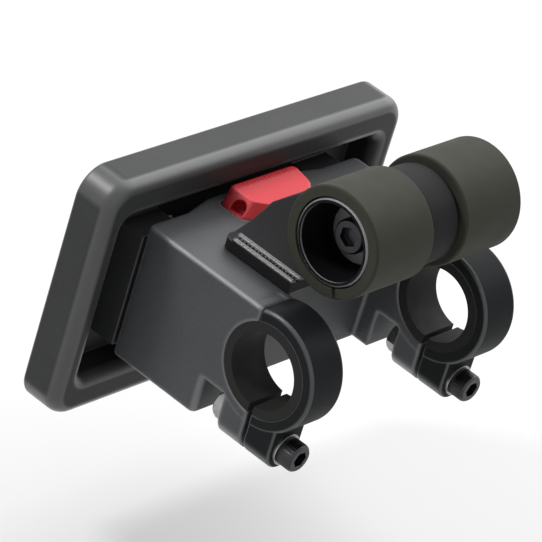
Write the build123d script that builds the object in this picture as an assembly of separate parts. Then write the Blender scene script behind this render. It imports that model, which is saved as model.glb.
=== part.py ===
from build123d import *
import math
import os

# Quick-release mount: a moulded housing clamps on a round bar with two split rings, carries a
# receiver plate on two T-rails in front, locks it with a sprung latch under a push button, and
# holds a short accessory tube above. Millimetres.
# Frame: origin on the clamp axis, midway between the clamps. +X runs along the bar to the right,
# +Y forward to the receiver plate, +Z up.

# Clearances
seat_gap = 0.05
cover_gap = 0.2
running_gap = 0.3
rail_gap = 0.4

# Bar clamps
bar_radius = 11.1
liner_wall = 2.8
clamp_wall = 3.6
clamp_width = 13.5
notch_half_width = 30.5
ring_edge_round = 1.2
split_gap = 1.6
hook_split_y = 5.8
hook_gap = 0.3
hook_length = 4.0
hook_thickness = 1.2
lug_half_width = 6.5
lug_depth = 9.0
lug_round = 0.8
clamp_bolt_radius = 2.5
clamp_washer_wall = 2.4
clamp_washer_thickness = 1.0
clamp_head_wall = 1.8
clamp_head_height = 5.0
clamp_nut_wall = 2.1
clamp_nut_height = 4.0

# Housing
crown_height = 1.0
housing_reach = 50.0
housing_drop = 26.0
housing_wall = 3.0
top_wall = 3.5
bulge = 2.8
bulge_half_width = 17.0
ramp_half_width = 28.0
edge_round = 0.9
corner_round = 2.0
cover_thickness = 2.5
cover_screw_radius = 1.5
cover_boss_wall = 2.0
screw_head_wall = 1.3
screw_head_height = 2.0
screw_head_recess = 1.2
cover_screw_length = 11.0
web_angle = 55.0

# T-rails and receiver plate
rail_neck_half = 2.2
rail_flange_half = 4.6
rail_neck_depth = 5.0
rail_flange_depth = 3.2
rail_top = 9.0
rail_foot = 2.0
channel_wall = 2.5
channel_cap = 3.0
panel_stand_off = 10.0
panel_thickness = 3.0
rim_side_gap = 9.5
rim_top_gap = 3.5
rim_bottom_gap = 7.0
rim_side_width = 9.0
rim_end_width = 12.0
rim_round = 4.2
rim_outer_corner = 9.0
rim_inner_corner = 3.0
rim_wall = 2.5
rim_front_round = 0.8
plate_hole_radius = 2.6
plate_hole_half_x = 22.0
plate_hole_top = 5.0
plate_hole_bottom = -25.0
catch_half_width = 8.0
catch_height = 6.0
catch_bevel = 3.0

# Release button
button_rise = 5.5
button_depth = 13.3
button_half_base = 15.5
button_half_front = 14.0
button_half_waist = 11.7
button_half_rear = 7.5
button_rear_chamfer = 5.0
button_top_setback = 1.5
button_wall = 2.4
button_flange = 1.8
button_flange_thickness = 1.8
button_gap = 0.35
button_corner = 2.0
button_round = 1.2
dish_radius = 30.0
dish_depth = 0.8
front_lip = 2.5
grip_notch_depth = 4.0
grip_notch_radius = 2.3
grip_notch_straight = 1.4
grip_notch_setback = 6.0
press_travel = 5.0

# Latch
latch_half_width = 9.0
latch_bar_width = 4.0
latch_thickness = 6.0
latch_reach = 5.2
latch_rear_bar = 6.5
latch_nose_bevel = 4.5
latch_pin_radius = 1.5
latch_pin_setback = 6.3
slot_gap = 0.08
leg_thickness = 3.2
leg_wall = 2.2

# Return spring
spring_radius = 3.0
spring_wire = 0.45
spring_wire_sides = 8
spring_turns = 5
spring_length = 25.0
spring_space = 0.5
spring_post_drop = 1.0
tower_wall = 2.0

# Accessory tube arm
arm_half_width = 31.7
arm_plate_thickness = 3.5
arm_button_gap = 2.4
arm_rear_gap = 2.0
arm_shoulder = 9.5
rail_strip_width = 5.0
bead_radius = 0.9
bead_end_round = 0.7
arm_corner = 3.0
hub_round = 1.0
web_round = 1.2
flare_height = 16.5
web_half_width = 6.0
hub_radius = 14.0
arm_screw_inner_x = 13.5
arm_screw_outer_x = 26.0
arm_screw_setback = 4.0
arm_screw_length = 6.5
screw_tip_gap = 0.2
tube_radius = 12.7
tube_wall = 1.7
tube_length = 25.0
tube_floor = 3.3
tube_recess = 12.0
tube_chamfer = 0.9
spigot_length = 3.0
sleeve_wall = 3.2
sleeve_length = 24.0
sleeve_end_gap = 1.0
sleeve_slit = 1.2
sleeve_slit_angle = 23.0
sleeve_round = 0.8
sleeve_clearance = 4.6
sleeve_room = 3.4
tube_bolt_radius = 3.0
tube_head_radius = 5.0
tube_head_height = 4.0
tube_washer_radius = 8.5
tube_washer_thickness = 1.2
tube_nut_radius = 5.7
tube_nut_height = 5.0

# Places worked out from the sizes
liner_outer = bar_radius + liner_wall
clamp_bore = liner_outer + seat_gap
ring_outer = clamp_bore + clamp_wall
half_width = notch_half_width + clamp_width
clamp_middle = notch_half_width + clamp_width / 2
housing_top = ring_outer - crown_height
crown_y = math.sqrt(ring_outer**2 - housing_top**2)
housing_bottom = -housing_drop
ceiling = housing_top - top_wall
cover_top = housing_bottom + cover_thickness
screw_seat = housing_bottom + screw_head_recess
block_rear = ring_outer + running_gap
bulge_front = housing_reach + bulge
inner_front = bulge_front - housing_wall
far = 4 * (half_width + housing_reach)

button_front = inner_front - button_gap
button_rear = button_front - button_depth
button_waist = button_rear + button_rear_chamfer
button_top = housing_top + button_rise
button_floor = ceiling - button_flange_thickness - running_gap
latch_top = button_floor - press_travel - running_gap - spring_space
latch_middle = latch_top - latch_thickness / 2
latch_bottom = latch_top - latch_thickness
latch_pin_y = button_front - latch_pin_setback
latch_tip = bulge_front + latch_reach
leg_front = latch_pin_y + latch_pin_radius + leg_wall
leg_rear = latch_pin_y - press_travel - latch_pin_radius - leg_wall
leg_bottom = latch_middle - latch_pin_radius - leg_wall
leg_inner_x = latch_half_width + running_gap
spring_outer = spring_radius + spring_wire
spring_y = (button_front + button_rear) / 2
window_front = spring_y + spring_outer + press_travel + spring_space
window_rear = spring_y - spring_outer - spring_space
latch_rear = window_rear - latch_rear_bar
well_rear = latch_rear - press_travel - running_gap - spring_space
notch_rear = well_rear - housing_wall
side_rear = block_rear + housing_wall
spring_seat = button_floor - spring_length

lug_bolt_z = -(ring_outer + lug_half_width / 2 + spring_space)
clamp_head_radius = clamp_bolt_radius + clamp_head_wall
clamp_washer_radius = clamp_bolt_radius + clamp_washer_wall
clamp_nut_radius = clamp_bolt_radius + clamp_nut_wall
lug_face = split_gap / 2 + lug_depth

rail_x = (ramp_half_width + half_width) / 2
rail_bottom = housing_bottom + rail_foot
flange_rear = housing_reach + rail_neck_depth
rail_front = flange_rear + rail_flange_depth
panel_rear = housing_reach + panel_stand_off
panel_front = panel_rear + panel_thickness
rim_inner_x = half_width + rim_side_gap
rim_inner_top = housing_top + rim_top_gap
rim_inner_bottom = housing_bottom - rim_bottom_gap
rim_outer_x = rim_inner_x + rim_side_width
rim_outer_top = rim_inner_top + rim_end_width
rim_outer_bottom = rim_inner_bottom - rim_end_width

arm_front = button_rear - arm_button_gap
arm_rear = crown_y + arm_rear_gap
arm_plate_top = housing_top + arm_plate_thickness
arm_screw_y = arm_front - arm_screw_setback
sleeve_radius = tube_radius + seat_gap + sleeve_wall
tube_y = 0.0
tube_z = ring_outer + sleeve_clearance + sleeve_radius
tube_bore = tube_radius - tube_wall
tube_end = web_half_width + tube_length
tube_seat = tube_end - tube_recess
sleeve_start = web_half_width + sleeve_end_gap
screw_head_radius = cover_screw_radius + screw_head_wall


# Shape helpers
def block(x_range, y_range, z_range):
    """Box between three pairs of coordinates."""
    size = [high - low for low, high in (x_range, y_range, z_range)]
    middle = [(high + low) / 2 for low, high in (x_range, y_range, z_range)]
    return Pos(*middle) * Box(*size)


def rod_x(radius, x_range, y=0.0, z=0.0):
    """Round rod along X."""
    length = x_range[1] - x_range[0]
    return Pos((x_range[0] + x_range[1]) / 2, y, z) * Rot(0, 90, 0) * Cylinder(radius, length)


def rod_y(radius, y_range, x=0.0, z=0.0):
    """Round rod along Y."""
    length = y_range[1] - y_range[0]
    return Pos(x, (y_range[0] + y_range[1]) / 2, z) * Rot(90, 0, 0) * Cylinder(radius, length)


def rod_z(radius, z_range, x=0.0, y=0.0):
    """Round rod along Z."""
    length = z_range[1] - z_range[0]
    return Pos(x, y, (z_range[0] + z_range[1]) / 2) * Cylinder(radius, length)


def plan_prism(points, z_range, grow=0.0):
    """Prism along Z over a closed outline in plan, grown or shrunk by an offset."""
    face = make_face(Polyline(*points, close=True))
    if grow:
        face = offset(face, amount=grow, kind=Kind.INTERSECTION)
    return Pos(0, 0, z_range[0]) * extrude(face, amount=z_range[1] - z_range[0], dir=(0, 0, 1))


def side_prism(points, x_range):
    """Prism along X over a closed outline of (y, z) points."""
    face = Plane.YZ * make_face(Polyline(*points, close=True))
    return Pos(x_range[0], 0, 0) * extrude(face, amount=x_range[1] - x_range[0], dir=(1, 0, 0))


def hexagon_x(radius, x_range, y=0.0, z=0.0):
    """Six-sided prism along X, with its corners on the radius."""
    face = Plane.YZ * RegularPolygon(radius, 6)
    return Pos(x_range[0], y, z) * extrude(face, amount=x_range[1] - x_range[0], dir=(1, 0, 0))


def hexagon_y(radius, y_range, x=0.0, z=0.0):
    """Six-sided prism along Y, with its corners on the radius."""
    face = Plane.XZ * RegularPolygon(radius, 6)
    return Pos(x, y_range[0], z) * extrude(face, amount=y_range[1] - y_range[0], dir=(0, 1, 0))


def side_range(side, low, high):
    """Range of X on the right (side 1) or the left (side -1)."""
    return (low, high) if side > 0 else (-high, -low)


def edges_at(shape, position, axis, tolerance=0.01):
    """Edges that lie whole at one coordinate along an axis."""
    def flat_there(edge):
        box = edge.bounding_box()
        low = getattr(box.min, axis)
        high = getattr(box.max, axis)
        return abs(low - position) < tolerance and abs(high - position) < tolerance
    return shape.edges().filter_by(flat_there)


# Outlines that pieces share
def housing_outline():
    """Plan of the housing block: notch behind, ramps to a middle bulge in front."""
    right = [
        (notch_half_width, notch_rear),
        (notch_half_width, block_rear),
        (half_width, block_rear),
        (half_width, housing_reach),
        (ramp_half_width, housing_reach),
        (bulge_half_width, bulge_front),
    ]
    left = [(-x, y) for x, y in reversed(right)]
    return right + left


def cavity_outline():
    """Plan of the hollow inside the housing, one wall in from its outline."""
    right = [
        (notch_half_width + housing_wall, well_rear),
        (notch_half_width + housing_wall, side_rear),
        (half_width - housing_wall, side_rear),
        (half_width - housing_wall, housing_reach - housing_wall),
        (ramp_half_width, housing_reach - housing_wall),
        (bulge_half_width, inner_front),
    ]
    left = [(-x, y) for x, y in reversed(right)]
    return right + left


def button_base_outline():
    """Plan of the button where it leaves the housing top."""
    right = [
        (button_half_base, button_front),
        (button_half_base, button_waist),
        (button_half_base - button_rear_chamfer, button_rear),
    ]
    return right + [(-x, y) for x, y in reversed(right)]


def button_prism(z_range, grow=0.0):
    """Button's base outline with rounded corners, as a prism along Z."""
    prism = plan_prism(button_base_outline(), z_range, grow)
    return fillet(prism.edges().filter_by(Axis.Z), button_corner + grow)


def button_top_outline():
    """Plan of the button's flat top."""
    right = [
        (button_half_front, button_front),
        (button_half_waist, button_waist),
        (button_half_rear, button_rear + button_top_setback),
    ]
    return right + [(-x, y) for x, y in reversed(right)]


def cover_screw_places():
    """Plan places of the screws that hold the bottom cover."""
    reach = housing_wall + cover_boss_wall + cover_screw_radius - seat_gap
    x = half_width - reach
    rear = block_rear + reach
    front = housing_reach - reach
    return [(-x, rear), (x, rear), (-x, front), (x, front)]


def arm_screw_places():
    """Plan places of the screws that hold the tube arm."""
    xs = (-arm_screw_outer_x, -arm_screw_inner_x, arm_screw_inner_x, arm_screw_outer_x)
    return [(x, arm_screw_y) for x in xs]


def clamp_ring(side):
    """Whole clamp ring of one side, with rounded outer edges."""
    x_range = side_range(side, notch_half_width, half_width)
    ring = rod_x(ring_outer, x_range)
    ring = fillet(ring.edges().filter_by(GeomType.CIRCLE), ring_edge_round)
    return ring - rod_x(clamp_bore, (-far, far))


def clamp_lug(side, y_range):
    """Rounded lug under a clamp ring, still without its bolt hole."""
    x = side * clamp_middle
    tab = block((x - lug_half_width, x + lug_half_width), y_range, (lug_bolt_z, -liner_outer))
    lug = tab + rod_y(lug_half_width, y_range, x, lug_bolt_z)
    outer_face = max(y_range, key=abs)
    return fillet(edges_at(lug, outer_face, "Y"), lug_round)


def hook_tongue(side, gap):
    """Tongue that holds the top of a clamp cap in the housing."""
    low, high = side_range(side, notch_half_width, half_width)
    inset = ring_edge_round + clamp_wall / 2 - gap
    top = clamp_bore + clamp_wall / 2
    z_range = (top - hook_thickness - gap, top + gap)
    return block((low + inset, high - inset), (0, hook_split_y + hook_length + gap), z_range)


# Housing that carries everything
def adapter_body():
    body = plan_prism(housing_outline(), (housing_bottom, housing_top))
    uprights = body.edges().filter_by(Axis.Z)
    body = fillet([edge for edge in uprights if abs(edge.center().X) > rail_x], corner_round)
    body = fillet(edges_at(body, housing_bottom, "Z"), edge_round)
    web_radius = ring_outer - clamp_wall / 4
    web_turn = math.radians(web_angle)
    web_foot = (web_radius * math.cos(web_turn), -web_radius * math.sin(web_turn))
    web = [
        (crown_y - crown_height, housing_top),
        (side_rear, housing_top),
        (side_rear, web_foot[1]),
        web_foot,
    ]
    for side in (-1, 1):
        body += side_prism(web, side_range(side, notch_half_width, half_width))
    body = fillet(edges_at(body, housing_top, "Z"), edge_round)

    # Front halves of both clamp rings, open at the split planes
    for side in (-1, 1):
        ring = clamp_ring(side) + clamp_lug(side, (split_gap / 2, lug_face))
        ring -= rod_x(clamp_bore, (-far, far))
        ring -= block((-far, far), (-far, hook_split_y + hook_gap), (0, far))
        ring -= block((-far, far), (-far, split_gap / 2), (-far, 0))
        body -= rod_x(clamp_bore, side_range(side, notch_half_width, half_width))
        body -= block(side_range(side, 0, far), (-far, hook_split_y + hook_gap), (-far, far))
        body += ring
        body -= hook_tongue(side, running_gap / 2)
        body -= rod_y(clamp_bolt_radius + seat_gap, (0, block_rear), side * clamp_middle, lug_bolt_z)

    # Hollow, closed from below by the cover
    body -= plan_prism(cavity_outline(), (housing_bottom, ceiling))
    for x, y in cover_screw_places():
        boss = rod_z(cover_screw_radius + cover_boss_wall, (cover_top, ceiling), x, y)
        body += boss
        body -= rod_z(cover_screw_radius + seat_gap, (cover_top, cover_top + cover_screw_length), x, y)

    # Rib that keeps the tail of the latch down
    body += block(
        (-latch_half_width, latch_half_width),
        (well_rear, leg_rear - spring_space),
        (latch_top + running_gap, ceiling),
    )

    # Openings for the button, the latch nose and the screws of the arm
    body -= button_prism((ceiling, button_top), button_gap)
    body -= block(
        (-latch_half_width - running_gap, latch_half_width + running_gap),
        (well_rear + housing_wall, latch_tip),
        (latch_bottom - running_gap, latch_top + running_gap),
    )
    for x, y in arm_screw_places():
        body -= rod_z(cover_screw_radius + seat_gap, (latch_top, button_top), x, y)

    # T-rails in front
    for side in (-1, 1):
        middle = side * rail_x
        z_range = (rail_bottom, rail_top)
        neck = (middle - rail_neck_half, middle + rail_neck_half)
        flange = (middle - rail_flange_half, middle + rail_flange_half)
        body += block(neck, (housing_reach, flange_rear), z_range)
        rail = block(flange, (flange_rear, rail_front), z_range)
        body += chamfer(edges_at(rail, rail_front, "Y"), seat_gap + rail_gap)
    return body


def bottom_cover():
    outline = cavity_outline()
    cover = plan_prism(outline, (housing_bottom, cover_top), grow=-cover_gap)
    tower_half = latch_half_width - spring_space
    tower_rear = well_rear + spring_space
    tower_front = inner_front - spring_space
    tower_top = latch_bottom - running_gap
    cover += block((-tower_half, tower_half), (tower_rear, tower_front), (housing_bottom, tower_top))
    cover -= block(
        (tower_wall - tower_half, tower_half - tower_wall),
        (tower_rear + tower_wall, tower_front - tower_wall),
        (housing_bottom, spring_seat - tower_wall),
    )
    cover -= rod_z(spring_outer + spring_space, (spring_seat, tower_top), 0, spring_y)
    post_radius = spring_radius - spring_wire - spring_space
    cover += rod_z(post_radius, (spring_seat, latch_bottom - spring_post_drop), 0, spring_y)
    for x, y in cover_screw_places():
        cover -= rod_z(cover_screw_radius + seat_gap, (housing_bottom, cover_top), x, y)
        cover -= rod_z(screw_head_radius + seat_gap, (housing_bottom, screw_seat), x, y)
    return cover


def cover_screws():
    screws = []
    for x, y in cover_screw_places():
        shank = rod_z(cover_screw_radius, (screw_seat, screw_seat + cover_screw_length), x, y)
        head = rod_z(screw_head_radius, (screw_seat - screw_head_height, screw_seat), x, y)
        screws.append(shank + head)
    return Compound(children=screws)


# Clamp pieces
def clamp_cap(side):
    cap = clamp_ring(side) + clamp_lug(side, (-lug_face, -split_gap / 2))
    cap -= rod_x(clamp_bore, (-far, far))
    cap -= block((-far, far), (hook_split_y, far), (0, far))
    cap -= block((-far, far), (-split_gap / 2, far), (-far, 0))
    tongue = hook_tongue(side, 0)
    tongue -= rod_x(clamp_bore, (-far, far))
    cap += tongue
    return cap - rod_y(clamp_bolt_radius + seat_gap, (-far, 0), side * clamp_middle, lug_bolt_z)


def clamp_liner(side):
    liner = rod_x(liner_outer, side_range(side, notch_half_width, half_width))
    liner -= rod_x(bar_radius, (-far, far))
    return liner - block((-far, far), (-split_gap / 2, split_gap / 2), (-far, 0))


def clamp_bolts():
    bolts = []
    for side in (-1, 1):
        x = side * clamp_middle
        seat = -lug_face - clamp_washer_thickness
        shank = rod_y(clamp_bolt_radius, (seat, lug_face + clamp_nut_height), x, lug_bolt_z)
        head = rod_y(clamp_head_radius, (seat - clamp_head_height, seat), x, lug_bolt_z)
        socket_depth = clamp_head_height / 2
        socket = hexagon_y(
            clamp_bolt_radius,
            (seat - clamp_head_height, seat - clamp_head_height + socket_depth),
            x,
            lug_bolt_z,
        )
        bolts.append(shank + head - socket)
    return Compound(children=bolts)


def clamp_washers():
    washers = []
    for side in (-1, 1):
        x = side * clamp_middle
        y_range = (-lug_face - clamp_washer_thickness, -lug_face)
        washer = rod_y(clamp_washer_radius, y_range, x, lug_bolt_z)
        washers.append(washer - rod_y(clamp_bolt_radius + seat_gap, y_range, x, lug_bolt_z))
    return Compound(children=washers)


def clamp_nuts():
    nuts = []
    for side in (-1, 1):
        x = side * clamp_middle
        y_range = (lug_face, lug_face + clamp_nut_height)
        nut = hexagon_y(clamp_nut_radius, y_range, x, lug_bolt_z)
        nuts.append(nut - rod_y(clamp_bolt_radius + seat_gap, y_range, x, lug_bolt_z))
    return Compound(children=nuts)


# Receiver plate
def rounded_plate(x_half, z_range, corner, y_range):
    """Rounded rectangle in the XZ plane, extruded along Y."""
    height = z_range[1] - z_range[0]
    middle = (z_range[0] + z_range[1]) / 2
    face = Plane.XZ * RectangleRounded(2 * x_half, height, corner)
    return Pos(0, y_range[0], middle) * extrude(face, amount=y_range[1] - y_range[0], dir=(0, 1, 0))


def receiver_plate():
    plate = rounded_plate(
        rim_outer_x, (rim_outer_bottom, rim_outer_top), rim_outer_corner, (housing_reach, panel_front)
    )
    plate -= rounded_plate(
        rim_inner_x, (rim_inner_bottom, rim_inner_top), rim_inner_corner, (housing_reach, panel_rear)
    )
    plate = fillet(edges_at(plate, housing_reach, "Y"), rim_round)
    plate = fillet(edges_at(plate, panel_front, "Y"), rim_front_round)
    groove_depth = panel_front - housing_reach - rim_wall - rim_round / 2
    groove = rounded_plate(
        rim_outer_x - rim_wall,
        (rim_outer_bottom + rim_wall, rim_outer_top - rim_wall),
        rim_outer_corner - rim_wall,
        (panel_front - groove_depth, panel_front),
    )
    groove -= rounded_plate(
        rim_inner_x + rim_wall,
        (rim_inner_bottom - rim_wall, rim_inner_top + rim_wall),
        rim_inner_corner + rim_wall,
        (panel_front - groove_depth, panel_front),
    )
    plate -= groove

    # Channels that hang on the T-rails
    for side in (-1, 1):
        middle = side * rail_x
        inner = rail_flange_half + rail_gap
        outer = inner + channel_wall
        lip = rail_neck_half + rail_gap
        lip_rear = housing_reach + rail_gap + running_gap
        lip_front = flange_rear - rail_gap
        z_range = (rail_bottom, rail_top + channel_cap)
        channel = block((middle - outer, middle + outer), (lip_rear, panel_rear), z_range)
        channel -= block((middle - inner, middle + inner), (lip_front, panel_rear), (rail_bottom, rail_top))
        channel -= block((middle - lip, middle + lip), (lip_rear, panel_rear), (rail_bottom, rail_top))
        plate += channel

    # Catch under the latch nose
    catch_rear = bulge_front + running_gap + seat_gap
    catch_top = latch_bottom - running_gap
    catch_bottom = catch_top - catch_height
    profile = [
        (panel_rear, catch_top),
        (catch_rear, catch_top),
        (catch_rear, catch_bottom + catch_bevel),
        (catch_rear + catch_bevel, catch_bottom),
        (panel_rear, catch_bottom),
    ]
    plate += side_prism(profile, (-catch_half_width, catch_half_width))
    for x in (-plate_hole_half_x, plate_hole_half_x):
        for z in (plate_hole_bottom, plate_hole_top):
            plate -= rod_y(plate_hole_radius, (panel_rear, panel_front), x, z)
    return plate


# Button, latch and spring
def release_button():
    sections = []
    for outline, height in ((button_base_outline(), housing_top), (button_top_outline(), button_top)):
        face = make_face(Polyline(*outline, close=True))
        sections.append(Pos(0, 0, height) * fillet(face.vertices(), button_corner))
    button = loft(sections, ruled=True)
    button = fillet(edges_at(button, button_top, "Z"), button_round)
    dish_y = button_front - front_lip - math.sqrt(2 * dish_radius * dish_depth - dish_depth**2)
    button -= rod_x(dish_radius, (-far, far), dish_y, button_top + dish_radius - dish_depth)
    prism = button_prism((button_floor, housing_top))
    flange_top = button_floor + button_flange_thickness
    button += prism
    button += block(
        (-button_half_base - button_flange, button_half_base + button_flange),
        (button_rear - button_flange, button_front),
        (button_floor, flange_top),
    )
    button -= plan_prism(button_base_outline(), (button_floor, housing_top), grow=-button_wall)
    button += rod_z(spring_outer + spring_space, (button_floor, housing_top), 0, spring_y)

    # Arched finger notches at the foot of both flanks
    notch_y = button_front - grip_notch_setback
    notch_range = (notch_y - grip_notch_radius, notch_y + grip_notch_radius)
    arch_z = housing_top + grip_notch_straight
    for side in (-1, 1):
        x_range = side_range(side, button_half_base - grip_notch_depth, far)
        button -= block(x_range, notch_range, (housing_top, arch_z))
        arch = rod_x(grip_notch_radius, x_range, notch_y, arch_z)
        button -= arch & block(x_range, notch_range, (arch_z, button_top))

    # Legs with inclined slots that pull the latch back as the button goes down
    slot_radius = latch_pin_radius + slot_gap
    for side in (-1, 1):
        x_range = side_range(side, leg_inner_x, leg_inner_x + leg_thickness)
        leg = block(x_range, (leg_rear, leg_front), (button_floor, housing_top)) & prism
        leg += block(x_range, (leg_rear, leg_front), (leg_bottom, flange_top))
        slot_end = (latch_pin_y - press_travel, latch_middle + press_travel)
        leg -= rod_x(slot_radius, x_range, latch_pin_y, latch_middle)
        leg -= rod_x(slot_radius, x_range, *slot_end)
        half = slot_radius * math.sqrt(0.5)
        slot = [
            (latch_pin_y - half, latch_middle - half),
            (latch_pin_y + half, latch_middle + half),
            (slot_end[0] + half, slot_end[1] + half),
            (slot_end[0] - half, slot_end[1] - half),
        ]
        leg -= side_prism(slot, x_range)
        button += leg
    return button


def latch_slide():
    profile = [
        (latch_rear, latch_bottom),
        (latch_tip, latch_bottom),
        (latch_tip, latch_top - latch_nose_bevel),
        (latch_tip - latch_nose_bevel, latch_top),
        (latch_rear, latch_top),
    ]
    slide = side_prism(profile, (-latch_half_width, latch_half_width))
    window_half = latch_half_width - latch_bar_width
    slide -= block((-window_half, window_half), (window_rear, window_front), (-far, far))
    return slide - rod_x(latch_pin_radius + seat_gap, (-far, far), latch_pin_y, latch_middle)


def latch_pins():
    inner = latch_half_width - latch_bar_width
    outer = leg_inner_x + leg_thickness
    pins = []
    for side in (-1, 1):
        x_range = side_range(side, inner, outer)
        pins.append(rod_x(latch_pin_radius, x_range, latch_pin_y, latch_middle))
    return Compound(children=pins)


def button_spring():
    height = spring_length - 2 * spring_wire - 2 * seat_gap
    path = Helix(pitch=height / spring_turns, height=height, radius=spring_radius)
    path = Pos(0, spring_y, spring_seat + spring_wire + seat_gap) * path
    section = Plane(path @ 0, z_dir=path % 0) * RegularPolygon(spring_wire, spring_wire_sides)
    return sweep(section, path=path)


# Accessory tube and its arm
def tube_arm():
    flat_edge = arm_half_width - rail_strip_width
    crest = housing_top + flare_height
    flare_middle = ((flat_edge + web_half_width) / 2, arm_plate_top + (crest - arm_plate_top) / 3)
    left_flare = ThreePointArc(
        (-flat_edge, arm_plate_top), (-flare_middle[0], flare_middle[1]), (-web_half_width, crest)
    )
    right_flare = ThreePointArc(
        (web_half_width, crest), (flare_middle[0], flare_middle[1]), (flat_edge, arm_plate_top)
    )
    outline = [
        Line((-arm_half_width, housing_top), (-arm_half_width, arm_plate_top)),
        Line((-arm_half_width, arm_plate_top), (-flat_edge, arm_plate_top)),
        left_flare,
        Line((-web_half_width, crest), (web_half_width, crest)),
        right_flare,
        Line((flat_edge, arm_plate_top), (arm_half_width, arm_plate_top)),
        Line((arm_half_width, arm_plate_top), (arm_half_width, housing_top)),
        Line((arm_half_width, housing_top), (-arm_half_width, housing_top)),
    ]
    face = Plane.XZ * make_face(outline)
    saddle = Pos(0, arm_rear, 0) * extrude(face, amount=arm_front - arm_rear, dir=(0, 1, 0))

    # Side view: a shoulder in front, then a straight line that touches the hub
    shoulder_z = housing_top + arm_shoulder
    reach = math.hypot(arm_front - tube_y, shoulder_z - tube_z)
    touch = math.atan2(shoulder_z - tube_z, arm_front - tube_y) + math.acos(hub_radius / reach)
    side_view = [
        (arm_rear, housing_top),
        (arm_front, housing_top),
        (arm_front, shoulder_z),
        (tube_y + hub_radius * math.cos(touch), tube_z + hub_radius * math.sin(touch)),
        (tube_y, tube_z),
    ]
    saddle = saddle & side_prism(side_view, (-arm_half_width, arm_half_width))
    for side in (-1, 1):
        room = side_range(side, web_half_width, far)
        saddle -= rod_x(sleeve_radius + sleeve_room, room, tube_y, tube_z)
    corners = edges_at(saddle, arm_front, "Y").filter_by(Axis.Z)
    saddle = fillet(corners.filter_by(lambda edge: abs(edge.center().X) > flat_edge), arm_corner)
    web = side_prism(side_view, (-web_half_width, web_half_width))
    slope = web.edges().filter_by(lambda edge: edge.center().Z > shoulder_z and abs(edge.center().X) > 0)
    arm = saddle + fillet(slope, web_round)
    hub = rod_x(hub_radius, (-web_half_width, web_half_width), tube_y, tube_z)
    arm += fillet(hub.edges().filter_by(GeomType.CIRCLE), hub_round)
    spigot_end = web_half_width + spigot_length
    arm += rod_x(tube_bore - seat_gap, (-spigot_end, spigot_end), tube_y, tube_z)
    arm -= rod_x(tube_bolt_radius + seat_gap, (-far, far), tube_y, tube_z)

    # Two beads with round ends along each side edge, with a groove between them
    for side in (-1, 1):
        bead_x = (side * (arm_half_width - bead_radius), side * (flat_edge + bead_radius))
        bead_end = (arm_front - arm_corner, arm_front - 2 * bead_radius)
        for x, y in zip(bead_x, bead_end):
            bead = rod_y(bead_radius, (arm_rear, y), x, arm_plate_top)
            arm += fillet(edges_at(bead, y, "Y"), bead_end_round)
    screw_hole_top = ceiling + arm_screw_length + screw_tip_gap
    for x, y in arm_screw_places():
        arm -= rod_z(cover_screw_radius + seat_gap, (housing_top, screw_hole_top), x, y)
    return arm


def arm_screws():
    screws = []
    for x, y in arm_screw_places():
        shank = rod_z(cover_screw_radius, (ceiling, ceiling + arm_screw_length), x, y)
        head = rod_z(screw_head_radius, (ceiling - screw_head_height, ceiling), x, y)
        screws.append(shank + head)
    return Compound(children=screws)


def tube_stub(side):
    stub = rod_x(tube_radius, side_range(side, web_half_width, tube_end), tube_y, tube_z)
    stub = chamfer(edges_at(stub, side * tube_end, "X"), tube_chamfer)
    stub -= rod_x(tube_bore, side_range(side, tube_seat, tube_end), tube_y, tube_z)
    inner = side_range(side, web_half_width, tube_seat - tube_floor)
    stub -= rod_x(tube_bore, inner, tube_y, tube_z)
    return stub - rod_x(tube_bolt_radius + seat_gap, (-far, far), tube_y, tube_z)


def tube_sleeve(side):
    x_range = side_range(side, sleeve_start, sleeve_start + sleeve_length)
    sleeve = rod_x(sleeve_radius, x_range, tube_y, tube_z)
    sleeve = fillet(sleeve.edges().filter_by(GeomType.CIRCLE), sleeve_round)
    sleeve -= rod_x(tube_radius + seat_gap, x_range, tube_y, tube_z)
    slit = block((-far, far), (-sleeve_slit / 2, sleeve_slit / 2), (-far, 0))
    return sleeve - Pos(0, tube_y, tube_z) * Rot(-sleeve_slit_angle, 0, 0) * slit


def tube_washers():
    washers = []
    for side in (-1, 1):
        x_range = side_range(side, tube_seat, tube_seat + tube_washer_thickness)
        washer = rod_x(tube_washer_radius, x_range, tube_y, tube_z)
        washers.append(washer - rod_x(tube_bolt_radius + seat_gap, x_range, tube_y, tube_z))
    return Compound(children=washers)


def tube_bolt():
    seat = tube_seat + tube_washer_thickness
    bolt = rod_x(tube_bolt_radius, (-seat, seat + tube_nut_height), tube_y, tube_z)
    bolt += rod_x(tube_head_radius, (-seat - tube_head_height, -seat), tube_y, tube_z)
    socket_depth = tube_head_height / 2
    socket_range = (-seat - tube_head_height, -seat - tube_head_height + socket_depth)
    return bolt - hexagon_x(tube_bolt_radius, socket_range, tube_y, tube_z)


def tube_nut():
    seat = tube_seat + tube_washer_thickness
    nut = hexagon_x(tube_nut_radius, (seat, seat + tube_nut_height), tube_y, tube_z)
    return nut - rod_x(tube_bolt_radius + seat_gap, (-far, far), tube_y, tube_z)


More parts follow.
